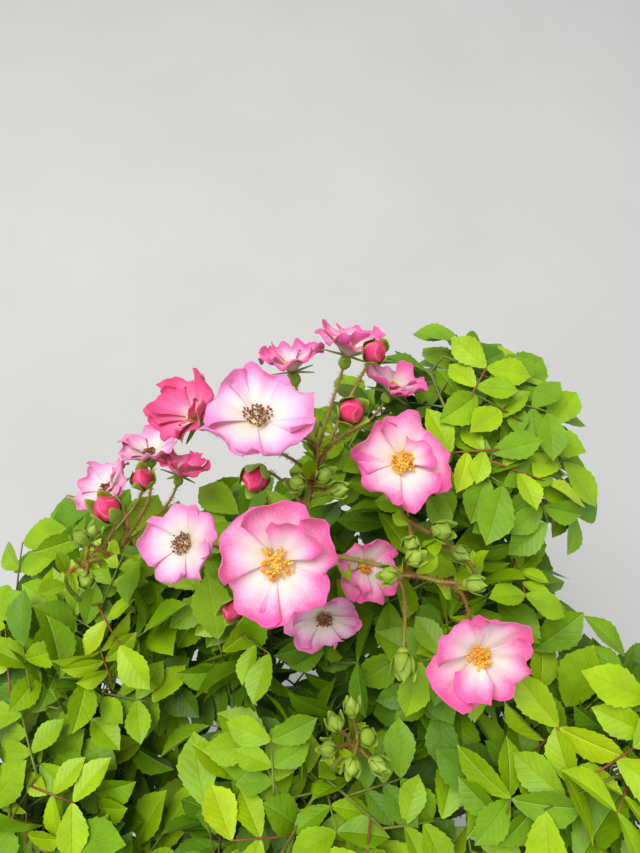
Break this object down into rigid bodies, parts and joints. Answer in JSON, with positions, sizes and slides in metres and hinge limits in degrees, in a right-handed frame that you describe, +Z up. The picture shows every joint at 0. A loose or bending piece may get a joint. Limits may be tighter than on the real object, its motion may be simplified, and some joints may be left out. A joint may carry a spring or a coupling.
{
  "type": "potted shrub rose",
  "caption": "Arching shrub rose in flower, with pink and white single blooms and pinnate leaves, in a round black nursery pot that stands on its flat foot.",
  "frame": {"origin": "The middle of the pot's flat underside.", "axes": "+Z is up, the way the plant grows. +Y is the far side of the plant, away from the viewer, which carries most of the blossom. +X is to the right in the picture."},
  "size_m": [0.5121, 0.6546, 0.6133],
  "materials": {
    "pot": "black blow-moulded plastic, slightly dusty",
    "potting_mix": "dark brown potting mix with bark chips",
    "old_wood": "grey-brown woody stool",
    "cane": "green to red-brown canes with prickles",
    "foliage": "fresh to mid green, softly glossy serrate leaflets",
    "blossom": "soft petals, white at the eye to pink at the edge, on green-brown glandular stalks"
  },
  "bodies": {
    "root": {"pot": "pot", "root_ball": "potting_mix", "stool": "old_wood", "bough_far_left": "cane", "bough_far_tip": "cane", "bough_near_middle": "cane", "cane_far_middle": "cane", "cane_far_right": "cane", "cane_left": "cane", "cane_middle": "cane", "cane_near_left": "cane", "cane_near_right": "cane", "cane_near_tip": "cane", "cane_right": "cane", "centre_truss": "blossom", "far_right_truss": "blossom", "foliage_far_left": "foliage", "foliage_far_middle": "foliage", "foliage_far_right": "foliage", "foliage_far_tip": "foliage", "foliage_left": "foliage", "foliage_middle": "foliage", "foliage_near_left": "foliage", "foliage_near_middle": "foliage", "foliage_near_right": "foliage", "foliage_near_tip": "foliage", "foliage_right": "foliage", "left_truss": "blossom", "near_left_truss": "blossom", "near_right_truss": "blossom", "near_tip_truss": "blossom", "right_truss": "blossom", "top_truss": "blossom", "young_truss": "blossom"}
  },
  "joints": []
}
